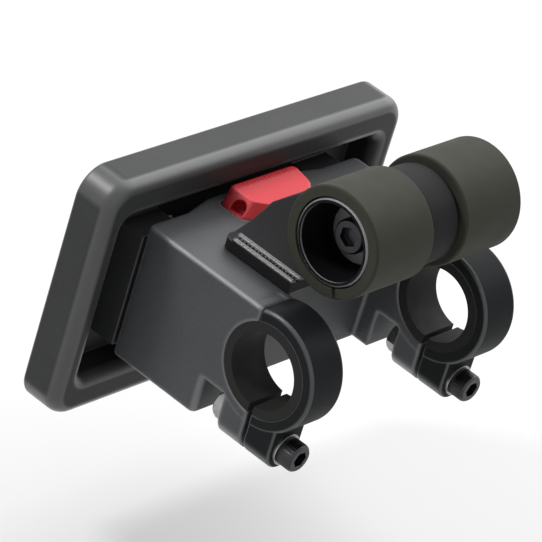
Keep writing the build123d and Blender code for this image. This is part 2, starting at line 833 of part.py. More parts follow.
pieces = {
    "adapter_body": adapter_body(),
    "bottom_cover": bottom_cover(),
    "cover_screws": cover_screws(),
    "receiver_plate": receiver_plate(),
    "clamp_cap_left": clamp_cap(-1),
    "clamp_cap_right": clamp_cap(1),
    "clamp_liner_left": clamp_liner(-1),
    "clamp_liner_right": clamp_liner(1),
    "clamp_bolts": clamp_bolts(),
    "clamp_washers": clamp_washers(),
    "clamp_nuts": clamp_nuts(),
    "release_button": release_button(),
    "button_spring": button_spring(),
    "latch_slide": latch_slide(),
    "latch_pins": latch_pins(),
    "tube_arm": tube_arm(),
    "arm_screws": arm_screws(),
    "tube_stub_left": tube_stub(-1),
    "tube_stub_right": tube_stub(1),
    "tube_sleeve_left": tube_sleeve(-1),
    "tube_sleeve_right": tube_sleeve(1),
    "tube_bolt": tube_bolt(),
    "tube_washers": tube_washers(),
    "tube_nut": tube_nut(),
}

os.makedirs("parts", exist_ok=True)
for name, piece in pieces.items():
    export_step(piece, f"parts/{name}.step")
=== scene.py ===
import bmesh
import bpy
import math
from bpy.props import FloatProperty, FloatVectorProperty, IntProperty, PointerProperty
from mathutils import Matrix, Vector


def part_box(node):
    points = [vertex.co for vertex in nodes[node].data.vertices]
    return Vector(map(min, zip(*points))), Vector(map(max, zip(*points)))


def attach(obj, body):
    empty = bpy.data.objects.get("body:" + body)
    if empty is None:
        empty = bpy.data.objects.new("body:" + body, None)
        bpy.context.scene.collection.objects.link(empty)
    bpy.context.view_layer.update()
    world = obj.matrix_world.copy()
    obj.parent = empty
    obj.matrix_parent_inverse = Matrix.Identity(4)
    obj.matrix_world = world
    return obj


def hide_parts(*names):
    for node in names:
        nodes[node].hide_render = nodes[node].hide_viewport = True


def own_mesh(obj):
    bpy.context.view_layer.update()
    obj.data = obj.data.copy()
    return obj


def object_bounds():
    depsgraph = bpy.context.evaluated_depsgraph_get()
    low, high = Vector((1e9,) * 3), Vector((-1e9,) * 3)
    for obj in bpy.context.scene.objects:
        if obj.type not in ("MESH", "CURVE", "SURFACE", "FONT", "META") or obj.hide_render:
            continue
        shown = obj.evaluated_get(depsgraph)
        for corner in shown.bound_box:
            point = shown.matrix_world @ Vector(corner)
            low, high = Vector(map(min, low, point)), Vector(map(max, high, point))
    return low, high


bl_info = {
    "name": "Quick-Release Bar Mount",
    "version": (1, 0, 0),
    "blender": (4, 5, 0),
    "location": "View3D > Sidebar > Bar Mount",
    "description": "Dresses a quick-release bar mount with moulded plastic, rubber, metal and a stage",
    "category": "Object",
}

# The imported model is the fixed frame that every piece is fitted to
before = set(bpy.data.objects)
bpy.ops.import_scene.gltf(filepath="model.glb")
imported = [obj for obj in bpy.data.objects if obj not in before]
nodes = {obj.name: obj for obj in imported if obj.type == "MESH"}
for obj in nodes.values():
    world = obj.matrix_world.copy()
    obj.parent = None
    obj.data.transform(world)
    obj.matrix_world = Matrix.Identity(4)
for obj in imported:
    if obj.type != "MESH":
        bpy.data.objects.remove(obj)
cad_low, cad_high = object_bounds()

MILLIMETRE = 0.001


# Sizes and colours that a user would change
def colour_property(name, description, value):
    return FloatVectorProperty(
        name=name, description=description, subtype="COLOR", size=3, min=0.0, max=1.0, default=value
    )


def length_property(name, description, millimetres):
    return FloatProperty(
        name=name, description=description, subtype="DISTANCE", unit="LENGTH",
        default=millimetres * MILLIMETRE,
    )


def power_property(name, description, watts):
    return FloatProperty(name=name, description=description, subtype="POWER", unit="POWER", default=watts)


class MountFinish(bpy.types.PropertyGroup):
    """Colours and grain of the mount's materials"""

    housing_colour: colour_property("Housing", "Black of the grained housing", (0.064, 0.066, 0.070))
    arm_colour: colour_property("Arm", "Black of the tube arm", (0.020, 0.020, 0.0215))
    rib_colour: colour_property("Rail ribs", "Dull black of the fine ribs", (0.022, 0.022, 0.023))
    plate_colour: colour_property("Plate", "Black of the smooth receiver plate", (0.042, 0.043, 0.044))
    clamp_colour: colour_property("Clamps", "Black of the clamp caps", (0.012, 0.013, 0.014))
    button_colour: colour_property("Button", "Red of the push button", (0.56, 0.026, 0.037))
    latch_colour: colour_property("Latch", "Grey of the latch slide", (0.08, 0.08, 0.085))
    sleeve_colour: colour_property("Sleeves", "Olive black of the rubber", (0.030, 0.030, 0.0237))
    liner_colour: colour_property("Liners", "Black of the rubber in the clamps", (0.013, 0.013, 0.0125))
    tube_colour: colour_property("Tube", "Black anodised tube", (0.008, 0.008, 0.0095))
    bare_metal_colour: colour_property("Bare metal", "Turned edge of the tube", (0.30, 0.30, 0.31))
    zinc_colour: colour_property("Zinc", "Plated screws, nuts and washers", (0.30, 0.30, 0.295))
    # Dull zinc of the washers, its colour darkened as painted shade for their place deep in the tube
    shaded_dull_steel_colour: colour_property("Dull steel", "Washers deep in the tube", (0.16, 0.16, 0.16))
    black_steel_colour: colour_property("Black steel", "Black bolts", (0.045, 0.045, 0.048))
    grain_size: length_property("Grain size", "Width of one bump of the moulded grain", 0.75)
    grain_depth: length_property("Grain depth", "Height of the moulded grain", 0.07)
    edge_softness: length_property("Edge softness", "Radius that edges catch the light with", 0.7)
    housing_softness: length_property("Housing softness", "The same radius on the housing's edges", 2.1)


class MountDetails(bpy.types.PropertyGroup):
    """Sizes of the small details on the mount"""

    rail_rib_pitch: length_property("Rail rib pitch", "Spacing of the fine ribs on the rails", 1.3)
    rail_rib_width: length_property("Rail rib width", "Width of one fine rib", 0.6)
    rail_rib_length: length_property("Rail rib length", "Length of one fine rib", 1.5)
    rail_inset: length_property("Rail inset", "From the arm's side edge to the groove's middle", 2.5)
    rail_end_gap: length_property("Rail end gap", "Plain stretch at the front end of a groove", 3.4)
    grip_rib_count: IntProperty(name="Grip ribs", description="Ribs on the button", default=13, min=1)
    grip_rib_pitch: length_property("Grip rib pitch", "Spacing of the ribs on the button", 1.5)
    grip_rib_width: length_property("Grip rib width", "Width of one rib on the button", 0.55)
    grip_rib_length: length_property("Grip rib length", "Length of one rib on the button", 1.3)
    grip_rib_setback: length_property(
        "Grip rib setback", "From the button's front to the ribs' middle", 1.95
    )
    turned_edge: length_property("Turned edge", "Width of the bare edge at the tube's ends", 0.5)
    spring_turns: FloatProperty(
        name="Spring turns", description="Turns of the return spring", default=5.0, min=1.0
    )
    spring_wire_radius: length_property("Spring wire", "Radius of the return spring's wire", 0.45)
    knurl_depth: length_property("Knurl depth", "Depth of the flutes on the bolt heads", 0.16)
    clamp_head_height: length_property("Clamp bolt head", "Height of the head of a clamp bolt", 5.0)
    clamp_shank_radius: length_property("Clamp bolt radius", "Radius of a clamp bolt", 2.5)
    tube_head_height: length_property("Tube bolt head", "Height of the head of the tube bolt", 4.0)
    tube_shank_radius: length_property("Tube bolt radius", "Radius of the tube bolt", 3.0)
    screw_head_radius: length_property("Screw head radius", "Radius of a cover screw's head", 2.8)
    screw_head_height: length_property("Screw head height", "Height of a cover screw's head", 2.0)
    screw_shank_radius: length_property("Screw radius", "Radius of a cover screw", 1.5)


class MountStage(bpy.types.PropertyGroup):
    """Floor, lamps and camera"""

    floor_drop: length_property("Floor drop", "Floor below the lowest point of the mount", 40.0)
    floor_size: length_property("Floor size", "Side of the square floor", 6000.0)
    camera_distance: length_property("Camera distance", "From the camera to the mount", 1200.0)
    frame_fill: FloatProperty(
        name="Frame fill", description="Share of the picture that the mount fills",
        default=0.9, min=0.1, max=1.0,
    )
    key_power: power_property("Key lamp", "Power of the large lamp above", 8.0)
    edge_power: power_property("Edge lamp", "Power of the small lamp that edges catch", 2.8)
    fill_power: power_property("Fill lamp", "Power of the weak lamp near the camera", 0.3)
    world_strength: FloatProperty(
        name="Sky", description="Strength of the even light all round", default=0.15
    )


# Fixed values of the materials
EDGE_SAMPLES = 6
EDGE_POLISH = 0.5
MOTTLE = 0.35
# Lift of the paler colour, both on worn edges and as a painted highlight on shining edges
WEAR_AND_HIGHLIGHT_LIFT = 0.01
RUBBER_BLOOM = 1.8
METAL_EDGE_GAIN = 1.5
METAL_EDGE_LIFT = 0.04
TURNED_ROUGHNESS = 0.8
TURNED_FACE_GAP = 0.02 * MILLIMETRE

# Ranges over which the patterns and masks rise or fall
NOISE_SPAN = (0.3, 0.7)
WORN_BEND = (0.015, 0.12)
SIDE_EDGE_BEGINS = (0.15, 0.35)
SIDE_EDGE_ENDS = (0.9, 0.99)
ROUNDING_ENDS = (0.96, 0.995)


# Node helpers
def add_node(tree, kind, **settings):
    """New node with its settings and, through inputs, its socket values."""
    node = tree.nodes.new(kind)
    inputs = settings.pop("inputs", {})
    for name, value in settings.items():
        setattr(node, name, value)
    for name, value in inputs.items():
        node.inputs[name].default_value = value
    return node


def math_node(tree, operation, first, second):
    """Math node on two sockets or plain numbers, and its result."""
    node = add_node(tree, "ShaderNodeMath", operation=operation)
    for index, source in enumerate((first, second)):
        if isinstance(source, (int, float)):
            node.inputs[index].default_value = source
        else:
            tree.links.new(source, node.inputs[index])
    return node.outputs[0]


def ramp(tree, source, low, high, start=0.0, end=1.0, **settings):
    """Value that goes from start to end while the source goes from low to high."""
    span = {"From Min": low, "From Max": high, "To Min": start, "To Max": end}
    node = add_node(tree, "ShaderNodeMapRange", inputs=span, **settings)
    tree.links.new(source, node.inputs["Value"])
    return node.outputs[0]


def new_group(name, inputs, outputs):
    """Empty shader node group with named float inputs and outputs."""
    group = bpy.data.node_groups.new(name, "ShaderNodeTree")
    for label, value in inputs.items():
        socket = group.interface.new_socket(label, in_out="INPUT", socket_type="NodeSocketFloat")
        socket.default_value = value
    for label in outputs:
        group.interface.new_socket(label, in_out="OUTPUT", socket_type="NodeSocketFloat")
    start = group.nodes.new("NodeGroupInput")
    end = group.nodes.new("NodeGroupOutput")
    return group, start, end


def shared_group(name, build):
    """A node group that is built at its first use."""
    return bpy.data.node_groups.get(name) or build(name)


def build_grain(name):
    """Moulded grain: fine bumps, slow blotches that change the sheen, and a mottle of both."""
    sizes = {"Grain Size": 0.4 * MILLIMETRE, "Blotch Size": 20 * MILLIMETRE}
    group, start, end = new_group(name, sizes, ["Height", "Sheen", "Mottle"])
    place = add_node(group, "ShaderNodeTexCoord")
    fine = add_node(group, "ShaderNodeTexNoise", inputs={"Detail": 2.0, "Roughness": 0.6})
    slow = add_node(group, "ShaderNodeTexNoise", inputs={"Detail": 3.0, "Roughness": 0.55})
    for noise, size in ((fine, "Grain Size"), (slow, "Blotch Size")):
        group.links.new(place.outputs["Object"], noise.inputs["Vector"])
        group.links.new(math_node(group, "DIVIDE", 1.0, start.outputs[size]), noise.inputs["Scale"])
    group.links.new(fine.outputs["Fac"], end.inputs["Height"])
    group.links.new(slow.outputs["Fac"], end.inputs["Sheen"])
    both = math_node(group, "ADD", fine.outputs["Fac"], slow.outputs["Fac"])
    group.links.new(math_node(group, "MULTIPLY", both, 0.5), end.inputs["Mottle"])
    return group


def soft_normal(group, start):
    """Normal that rounds the edges by the group's edge width."""
    rounded = add_node(group, "ShaderNodeBevel", samples=EDGE_SAMPLES)
    group.links.new(start.outputs["Edge Width"], rounded.inputs["Radius"])
    return rounded.outputs["Normal"]


def build_edge_wear(name):
    """Mask that is bright along worn edges, broken up by a noise."""
    sizes = {"Edge Width": 0.8 * MILLIMETRE, "Break Size": 3 * MILLIMETRE}
    group, start, end = new_group(name, sizes, ["Mask"])
    surface = add_node(group, "ShaderNodeNewGeometry")
    compare = add_node(group, "ShaderNodeVectorMath", operation="DOT_PRODUCT")
    group.links.new(soft_normal(group, start), compare.inputs[0])
    group.links.new(surface.outputs["Normal"], compare.inputs[1])
    place = add_node(group, "ShaderNodeTexCoord")
    noise = add_node(group, "ShaderNodeTexNoise", inputs={"Detail": 3.0})
    group.links.new(place.outputs["Object"], noise.inputs["Vector"])
    group.links.new(math_node(group, "DIVIDE", 1.0, start.outputs["Break Size"]), noise.inputs["Scale"])
    bend = math_node(group, "SUBTRACT", 1.0, compare.outputs["Value"])
    worn = ramp(group, bend, *WORN_BEND)
    group.links.new(math_node(group, "MULTIPLY", worn, noise.outputs["Fac"]), end.inputs["Mask"])
    return group


def build_round_edge(name):
    """Mask of the rounded edges along the sides, where an upright face turns into a flat one."""
    group, start, end = new_group(name, {"Edge Width": 0.7 * MILLIMETRE}, ["Mask"])
    split = add_node(group, "ShaderNodeSeparateXYZ")
    group.links.new(soft_normal(group, start), split.inputs[0])
    sideways = math_node(group, "ABSOLUTE", split.outputs["X"], 0.0)
    rise = ramp(group, sideways, *SIDE_EDGE_BEGINS)
    fall = ramp(group, sideways, *SIDE_EDGE_ENDS, start=1.0, end=0.0)
    group.links.new(math_node(group, "MULTIPLY", rise, fall), end.inputs["Mask"])
    return group


def build_rounding(name):
    """Mask of the rounded parts, which face along none of the three axes."""
    group, start, end = new_group(name, {"Edge Width": 0.7 * MILLIMETRE}, ["Mask"])
    size = add_node(group, "ShaderNodeVectorMath", operation="ABSOLUTE")
    group.links.new(soft_normal(group, start), size.inputs[0])
    split = add_node(group, "ShaderNodeSeparateXYZ")
    group.links.new(size.outputs[0], split.inputs[0])
    largest = math_node(group, "MAXIMUM", split.outputs["X"], split.outputs["Y"])
    largest = math_node(group, "MAXIMUM", largest, split.outputs["Z"])
    group.links.new(ramp(group, largest, *ROUNDING_ENDS, start=1.0, end=0.0), end.inputs["Mask"])
    return group


def place_group(tree, name, build, values):
    """Puts a shared group in a material, with its own values."""
    node = add_node(tree, "ShaderNodeGroup", node_tree=shared_group(name, build))
    for label, value in values.items():
        node.inputs[label].default_value = value
    return node


def new_material(name):
    """Empty material with its tree and its shader."""
    material = bpy.data.materials.new(name)
    material.use_nodes = True
    tree = material.node_tree
    return material, tree, tree.nodes["Principled BSDF"]


def spread_roughness(tree, shader, source, middle, swing, worn=None, turned=None):
    """Roughness that follows a slow pattern, drops where worn and rises where turned."""
    result = ramp(tree, source, *NOISE_SPAN, start=middle - swing, end=middle + swing)
    if worn is not None:
        kept = math_node(tree, "SUBTRACT", 1.0, math_node(tree, "MULTIPLY", worn, EDGE_POLISH))
        result = math_node(tree, "MULTIPLY", result, kept)
    if turned is not None:
        coarse = math_node(tree, "MULTIPLY", turned, TURNED_ROUGHNESS)
        result = math_node(tree, "MAXIMUM", result, coarse)
    tree.links.new(result, shader.inputs["Roughness"])


def scaled_colour(colour, factor, lift=0.0):
    """A colour times a factor, with a lift towards white."""
    return [min(1.0, value * factor + lift) for value in colour]


def mix_colours(tree, mask, low, high):
    """Colour between two, by a mask. The low one may be the result of another mix."""
    mix = add_node(tree, "ShaderNodeMix", data_type="RGBA")
    if isinstance(low, bpy.types.NodeSocket):
        tree.links.new(low, mix.inputs["A"])
    else:
        mix.inputs["A"].default_value = (*low, 1.0)
    mix.inputs["B"].default_value = (*high, 1.0)
    tree.links.new(mask, mix.inputs["Factor"])
    return mix.outputs["Result"]


def add_bump(tree, shader, height, depth, softness):
    """Bump from a height pattern, on a normal that rounds the sharp edges."""
    soft_edges = add_node(tree, "ShaderNodeBevel", samples=EDGE_SAMPLES, inputs={"Radius": softness})
    bump = add_node(tree, "ShaderNodeBump", inputs={"Strength": 1.0, "Distance": depth})
    tree.links.new(soft_edges.outputs["Normal"], bump.inputs["Normal"])
    tree.links.new(soft_edges.outputs["Normal"], shader.inputs["Coat Normal"])
    tree.links.new(height, bump.inputs["Height"])
    tree.links.new(bump.outputs["Normal"], shader.inputs["Normal"])


# Materials
def round_edges(tree, softness):
    """Mask of the rounded side edges."""
    return place_group(tree, "Round Edge", build_round_edge, {"Edge Width": softness}).outputs["Mask"]


def all_rounding(tree, softness):
    """Mask of every rounded part, also along the top."""
    return place_group(tree, "Rounding", build_rounding, {"Edge Width": softness}).outputs["Mask"]


def plastic(
    name, colour, grain_size, grain_depth, roughness, swing, wear_and_highlight_gain, gloss=0.5,
    shine=round_edges, shine_roughness=0.36, softness=None,
):
    """Moulded plastic with a grain, an uneven sheen, and paler edges: worn edges, and where it is asked to
    shine, a coat with a painted highlight in the base colour.
    """
    material, tree, shader = new_material(name)
    softness = softness or bpy.context.scene.mount_finish.edge_softness
    grain = place_group(tree, "Moulded Grain", build_grain, {"Grain Size": grain_size})
    worn = place_group(tree, "Edge Wear", build_edge_wear, {}).outputs["Mask"]
    # Mask of worn edges and, where the plastic shines, of its shining edges as well
    wear_and_highlight_mask = worn
    if shine is not None:
        wear_and_highlight_mask = math_node(tree, "MAXIMUM", worn, shine(tree, softness))
        tree.links.new(wear_and_highlight_mask, shader.inputs["Coat Weight"])
        shader.inputs["Coat Roughness"].default_value = shine_roughness
    dark = scaled_colour(colour, 1 - MOTTLE)
    light = scaled_colour(colour, 1 + MOTTLE)
    # Paler colour: real wear on worn edges, a painted highlight on the shining edges
    pale = scaled_colour(colour, wear_and_highlight_gain, WEAR_AND_HIGHLIGHT_LIFT)
    body = mix_colours(tree, grain.outputs["Mottle"], dark, light)
    tree.links.new(mix_colours(tree, wear_and_highlight_mask, body, pale), shader.inputs["Base Color"])
    shader.inputs["Specular IOR Level"].default_value = gloss
    spread_roughness(tree, shader, grain.outputs["Sheen"], roughness, swing, worn)
    add_bump(tree, shader, grain.outputs["Height"], grain_depth, softness)
    return material


def rubber(name, colour):
    """Matte rubber with a fine dry grain."""
    material, tree, shader = new_material(name)
    sizes = {"Grain Size": 0.25 * MILLIMETRE, "Blotch Size": 6 * MILLIMETRE}
    grain = place_group(tree, "Moulded Grain", build_grain, sizes)
    pale = scaled_colour(colour, RUBBER_BLOOM)
    tree.links.new(mix_colours(tree, grain.outputs["Sheen"], colour, pale), shader.inputs["Base Color"])
    shader.inputs["Specular IOR Level"].default_value = 0.15
    spread_roughness(tree, shader, grain.outputs["Sheen"], middle=0.7, swing=0.08)
    add_bump(tree, shader, grain.outputs["Height"], depth=0.03 * MILLIMETRE, softness=0.3 * MILLIMETRE)
    return material


def metal(name, colour, roughness):
    """Plated or blackened steel with a fine grain and brighter edges."""
    material, tree, shader = new_material(name)
    shader.inputs["Metallic"].default_value = 1.0
    sizes = {"Grain Size": 0.2 * MILLIMETRE, "Blotch Size": 3 * MILLIMETRE}
    grain = place_group(tree, "Moulded Grain", build_grain, sizes)
    worn = place_group(tree, "Edge Wear", build_edge_wear, {"Edge Width": 0.2 * MILLIMETRE})
    pale = scaled_colour(colour, METAL_EDGE_GAIN, METAL_EDGE_LIFT)
    tree.links.new(mix_colours(tree, worn.outputs["Mask"], colour, pale), shader.inputs["Base Color"])
    spread_roughness(tree, shader, grain.outputs["Sheen"], middle=roughness, swing=0.07)
    add_bump(tree, shader, grain.outputs["Height"], depth=0.008 * MILLIMETRE, softness=0.2 * MILLIMETRE)
    return material


def anodised_tube(name, colour, bare, end_x, turned):
    """Black anodised tube with a bare turned edge at its end."""
    material, tree, shader = new_material(name)
    place = add_node(tree, "ShaderNodeTexCoord")
    split = add_node(tree, "ShaderNodeSeparateXYZ")
    tree.links.new(place.outputs["Object"], split.inputs[0])
    along = math_node(tree, "ABSOLUTE", split.outputs["X"], 0.0)
    past_start = math_node(tree, "GREATER_THAN", along, end_x - turned)
    before_face = math_node(tree, "LESS_THAN", along, end_x - TURNED_FACE_GAP)
    mask = math_node(tree, "MULTIPLY", past_start, before_face)
    tree.links.new(mix_colours(tree, mask, colour, bare), shader.inputs["Base Color"])
    tree.links.new(mask, shader.inputs["Metallic"])
    shader.inputs["Specular IOR Level"].default_value = 0.05
    grain = place_group(tree, "Moulded Grain", build_grain, {"Grain Size": 0.3 * MILLIMETRE})
    spread_roughness(tree, shader, grain.outputs["Sheen"], middle=0.36, swing=0.06, turned=mask)
    add_bump(tree, shader, grain.outputs["Height"], depth=0.012 * MILLIMETRE, softness=0.15 * MILLIMETRE)
    return material


def dress(material, *names):
    """Gives carried-over nodes their material."""
    for name in names:
        mesh = nodes[name].data
        mesh.materials.clear()
        mesh.materials.append(material)


# Mesh helpers
RING_POINTS = 72
PROFILE_POINTS = 12
SHARP_ANGLE = math.radians(25)
RAY_HEIGHT = 100 * MILLIMETRE


def surface_height(node, x, y):
    """Height of a node's top surface at a place in plan, or nothing where it has none."""
    above = Vector((x, y, cad_high.z + RAY_HEIGHT))
    found, spot, _, _ = nodes[node].ray_cast(above, Vector((0, 0, -1)))
    return spot.z if found else None


def plain_object(name, data):
    """New object at the origin, in the scene."""
    piece = bpy.data.objects.new(name, data)
    bpy.context.scene.collection.objects.link(piece)
    return piece


def hexagon(corner):
    """Radius of a hexagon by angle, with its corners on a circle."""
    def radius(angle):
        return corner * math.cos(math.pi / 6) / math.cos(angle % (math.pi / 3) - math.pi / 6)
    return radius


def chamfered_hexagon(corner, circle):
    """Radius of a hexagon whose corners are cut back to a circle."""
    side = hexagon(corner)
    return lambda angle: min(side(angle), circle)


def fluted(outer, depth):
    """Radius of a knurled rim: every other point is cut in."""
    step = 2 * math.pi / RING_POINTS
    return lambda angle: outer - depth * (round(angle / step) % 2)


def ring_solid(name, rings, turn, closed=False):
    """Mesh through rings about one axis. A ring is a height and a radius, plain or by angle."""
    shape = bmesh.new()
    loops = []
    for height, radius in rings:
        loop = []
        for index in range(RING_POINTS):
            angle = 2 * math.pi * index / RING_POINTS
            reach = radius(angle) if callable(radius) else radius
            loop.append(shape.verts.new((reach * math.cos(angle), reach * math.sin(angle), height)))
        loops.append(loop)
    pairs = list(zip(loops, loops[1:]))
    if closed:
        pairs.append((loops[-1], loops[0]))
    else:
        shape.faces.new(loops[0])
        shape.faces.new(loops[-1])
    for low, high in pairs:
        for index in range(RING_POINTS):
            after = (index + 1) % RING_POINTS
            shape.faces.new((low[index], low[after], high[after], high[index]))
    bmesh.ops.transform(shape, matrix=turn.to_4x4(), verts=shape.verts)
    bmesh.ops.recalc_face_normals(shape, faces=shape.faces)
    mesh = bpy.data.meshes.new(name)
    shape.to_mesh(mesh)
    shape.free()
    mesh.polygons.foreach_set("use_smooth", [True] * len(mesh.polygons))
    mesh.set_sharp_from_angle(angle=SHARP_ANGLE)
    return mesh


def settle(piece, tree, values):
    """Runs a geometry tree on a piece once and keeps the result as a plain mesh."""
    modifier = piece.modifiers.new("Shape", "NODES")
    modifier.node_group = tree
    for item in tree.interface.items_tree:
        if item.item_type == "SOCKET" and item.in_out == "INPUT" and item.name in values:
            modifier[item.identifier] = values[item.name]
    graph = bpy.context.evaluated_depsgraph_get()
    mesh = bpy.data.meshes.new_from_object(piece.evaluated_get(graph))
    piece.modifiers.remove(modifier)
    piece.data = mesh


def new_tree(name, sockets):
    """Empty geometry tree with named inputs and one geometry output."""
    tree = bpy.data.node_groups.new(name, "GeometryNodeTree")
    tree.interface.new_socket("Geometry", in_out="INPUT", socket_type="NodeSocketGeometry")
    for label, kind in sockets.items():
        tree.interface.new_socket(label, in_out="INPUT", socket_type=f"NodeSocket{kind}")
    tree.interface.new_socket("Geometry", in_out="OUTPUT", socket_type="NodeSocketGeometry")
    return tree, tree.nodes.new("NodeGroupInput"), tree.nodes.new("NodeGroupOutput")


def finish_tree(tree, copies, start, end):
    """Ends a tree: real copies with the material that was asked for."""
    whole = add_node(tree, "GeometryNodeRealizeInstances")
    tree.links.new(copies.outputs[0], whole.inputs[0])
    dressed = add_node(tree, "GeometryNodeSetMaterial")
    tree.links.new(whole.outputs[0], dressed.inputs["Geometry"])
    tree.links.new(start.outputs["Material"], dressed.inputs["Material"])
    tree.links.new(dressed.outputs[0], end.inputs["Geometry"])


def build_rib_row(name):
    """Row of round ribs, each one step on from the last."""
    tree, start, end = new_tree(name, {
        "Count": "Int", "Start": "Vector", "Step": "Vector", "Along": "Vector", "Length": "Float",
        "Width": "Float", "Material": "Material",
    })
    link = tree.links.new
    row = add_node(tree, "GeometryNodeMeshLine", mode="OFFSET")
    link(start.outputs["Count"], row.inputs["Count"])
    link(start.outputs["Start"], row.inputs["Start Location"])
    link(start.outputs["Step"], row.inputs["Offset"])
    spine = add_node(tree, "GeometryNodeCurvePrimitiveLine", mode="DIRECTION")
    link(start.outputs["Along"], spine.inputs["Direction"])
    link(start.outputs["Length"], spine.inputs["Length"])
    profile = add_node(tree, "GeometryNodeCurvePrimitiveCircle", inputs={"Resolution": PROFILE_POINTS})
    link(math_node(tree, "MULTIPLY", start.outputs["Width"], 0.5), profile.inputs["Radius"])
    rib = add_node(tree, "GeometryNodeCurveToMesh", inputs={"Fill Caps": True})
    link(spine.outputs[0], rib.inputs["Curve"])
    link(profile.outputs[0], rib.inputs["Profile Curve"])
    copies = add_node(tree, "GeometryNodeInstanceOnPoints")
    link(row.outputs[0], copies.inputs["Points"])
    link(rib.outputs[0], copies.inputs["Instance"])
    finish_tree(tree, copies, start, end)
    return tree


def build_fastener_set(name):
    """One fastener copied to every point of the piece."""
    tree, start, end = new_tree(name, {"Fastener": "Object", "Material": "Material"})
    source = add_node(tree, "GeometryNodeObjectInfo")
    tree.links.new(start.outputs["Fastener"], source.inputs["Object"])
    copies = add_node(tree, "GeometryNodeInstanceOnPoints")
    tree.links.new(start.outputs["Geometry"], copies.inputs["Points"])
    tree.links.new(source.outputs["Geometry"], copies.inputs["Instance"])
    finish_tree(tree, copies, start, end)
    return tree


def build_coil(name):
    """Coil of round wire that winds up along Z from a place."""
    tree, start, end = new_tree(name, {
        "Turns": "Float", "Radius": "Float", "Height": "Float", "Wire": "Float", "Place": "Vector",
        "Material": "Material",
    })
    link = tree.links.new
    coil = add_node(tree, "GeometryNodeCurveSpiral", inputs={"Resolution": 48})
    link(start.outputs["Turns"], coil.inputs["Rotations"])
    link(start.outputs["Height"], coil.inputs["Height"])
    for label in ("Start Radius", "End Radius"):
        link(start.outputs["Radius"], coil.inputs[label])
    profile = add_node(tree, "GeometryNodeCurvePrimitiveCircle", inputs={"Resolution": PROFILE_POINTS})
    link(start.outputs["Wire"], profile.inputs["Radius"])
    wire = add_node(tree, "GeometryNodeCurveToMesh", inputs={"Fill Caps": True})
    link(coil.outputs[0], wire.inputs["Curve"])
    link(profile.outputs[0], wire.inputs["Profile Curve"])
    placed = add_node(tree, "GeometryNodeTransform")
    link(wire.outputs[0], placed.inputs["Geometry"])
    link(start.outputs["Place"], placed.inputs["Translation"])
    finish_tree(tree, placed, start, end)
    return tree


def rib_row(name, slot, body, **values):
    """Row of ribs that rides on a body."""
    ribs = plain_object(name, bpy.data.meshes.new(name))
    inputs = {key.capitalize(): item for key, item in values.items()}
    settle(ribs, shared_group("Rib Row", build_rib_row), inputs)
    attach(ribs, body)


def fastener_set(name, mesh, places, material, node):
    """Copies of one fastener that stand for a node of the frame."""
    points = bpy.data.meshes.new(name)
    points.from_pydata(places, [], [])
    piece = plain_object(name, points)
    pattern = plain_object(f"{name}_pattern", mesh)
    inputs = {"Fastener": pattern, "Material": material}
    settle(piece, shared_group("Fastener Set", build_fastener_set), inputs)
    bpy.data.objects.remove(pattern)
    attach(piece, "adapter")
    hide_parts(node)


# Grain depth of the smoother plastics, as a share of the housing's
CLAMP_GRAIN = 0.4
SMOOTH_GRAIN = 0.5

# Small shares and margins of the details
BEAD_FOOT = 0.25 * MILLIMETRE
LEVEL_MARGIN = 0.1 * MILLIMETRE
GRIP_RIB_SINK = 0.2
BOLT_EDGE = 0.1
NUT_EDGE = 0.12
NUT_CHAMFER = 0.9


# Operators, one for each piece or group of like pieces
class MOUNT_OT_housing(bpy.types.Operator):
    """Give the housing, its cover and the clamp caps their grained black plastic"""

    bl_idname = "mount.housing"
    bl_label = "Dress Housing"

    def execute(self, context):
        finish = context.scene.mount_finish
        grained = plastic(
            "housing_plastic", finish.housing_colour, finish.grain_size, finish.grain_depth,
            roughness=0.48, swing=0.06, wear_and_highlight_gain=2.4, gloss=0.25,
            shine_roughness=0.34, softness=finish.housing_softness,
        )
        dress(grained, "adapter_body", "bottom_cover")
        smooth = plastic(
            "clamp_plastic", finish.clamp_colour, finish.grain_size, finish.grain_depth * CLAMP_GRAIN,
            roughness=0.5, swing=0.05, wear_and_highlight_gain=2.4, gloss=0.06,
        )
        dress(smooth, "clamp_cap_left", "clamp_cap_right")
        return {"FINISHED"}


